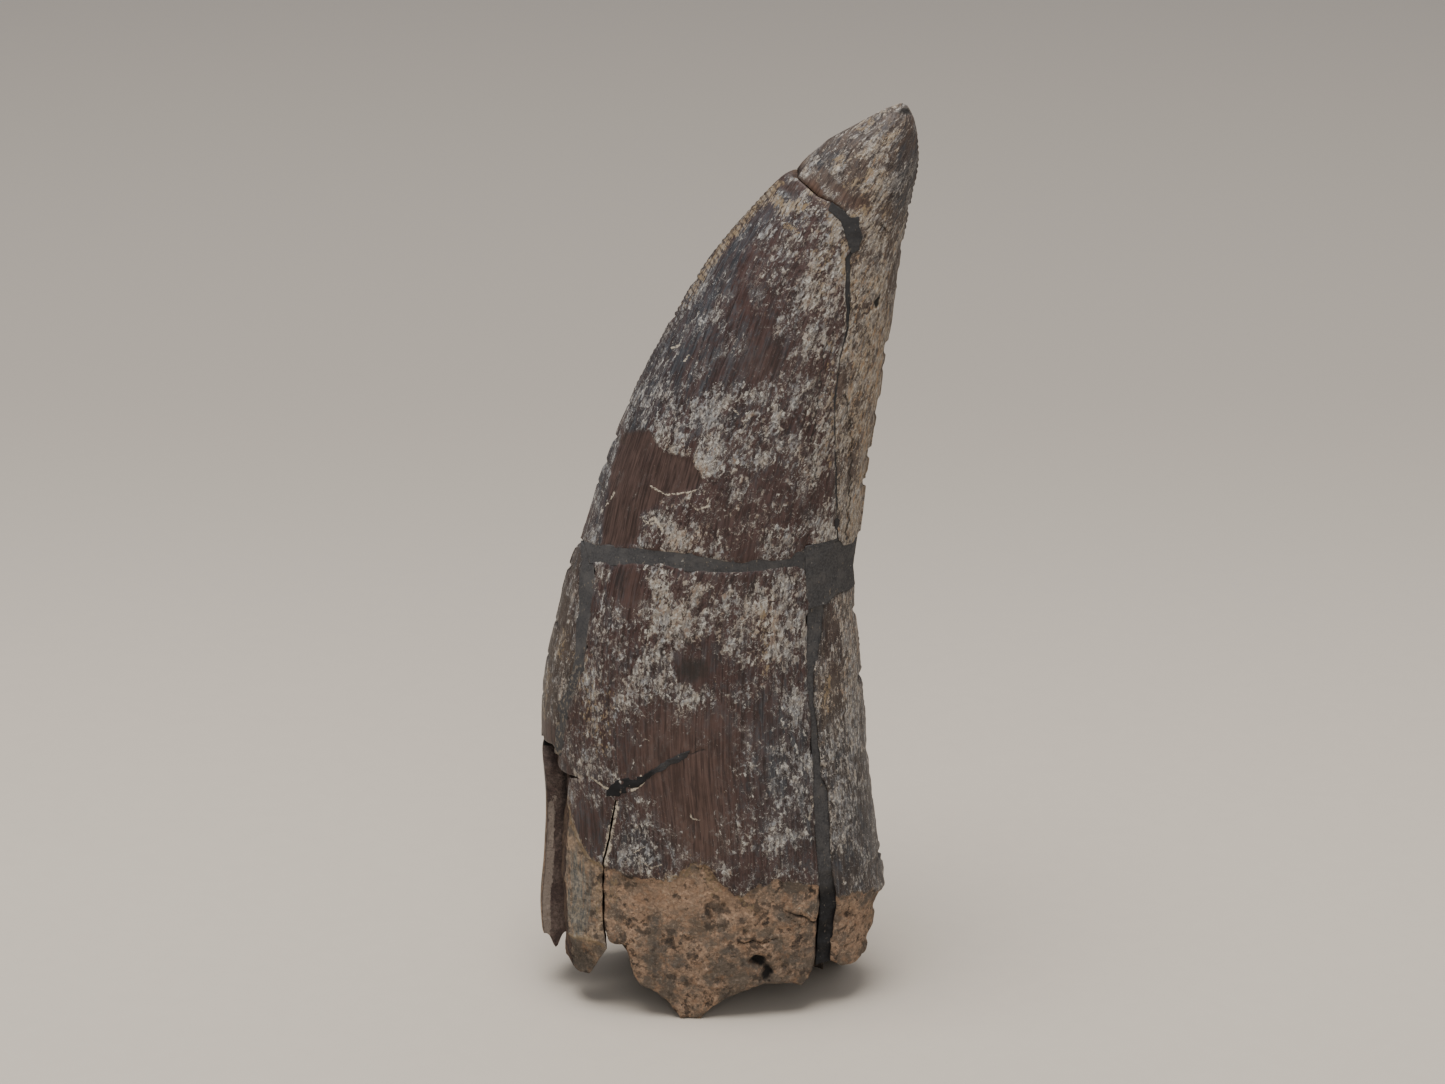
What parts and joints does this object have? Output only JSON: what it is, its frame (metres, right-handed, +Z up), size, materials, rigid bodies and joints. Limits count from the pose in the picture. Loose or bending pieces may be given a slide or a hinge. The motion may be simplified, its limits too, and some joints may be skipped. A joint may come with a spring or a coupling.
{
  "type": "fossil dinosaur tooth",
  "caption": "Serrated, curved theropod dinosaur tooth, broken and restored with dark putty, standing tip up on its broken hollow root.",
  "frame": {"origin": "centre of the bounding box's base, on the surface the tooth stands on", "axes": "+Z up towards the tip, -X towards the mesial (convex) cutting edge, +X towards the distal edge, -Y the cheek side that faces the viewer, +Y the tongue side"},
  "size_m": [0.0366, 0.0194, 0.0896],
  "materials": {
    "tip_enamel": "matte, weathered tan enamel and dentine",
    "dark_enamel": "satin, dark purple-brown enamel with pale flecks",
    "mottled_enamel": "satin dark enamel with a cream bloom above, matte orange-tan root below",
    "flank_enamel": "satin, grey-brown enamel with tan streaks",
    "plate_enamel": "satin dark enamel over matte tan dentine",
    "wall_dentine": "smooth dark brown dentine with a pale broken edge",
    "slab_enamel": "satin grey-tan enamel, matte orange-tan root",
    "putty": "matte dark grey restoration putty"
  },
  "bodies": {
    "root": {"tip_fragment": "tip_enamel", "upper_crown": "dark_enamel", "lower_crown": "mottled_enamel", "mesial_flank": "flank_enamel", "mesial_plate": "plate_enamel", "mesial_wall": "wall_dentine", "distal_slab": "slab_enamel", "seam_putty": "putty", "tip_putty": "putty", "crack_putty": "putty"}
  },
  "joints": []
}
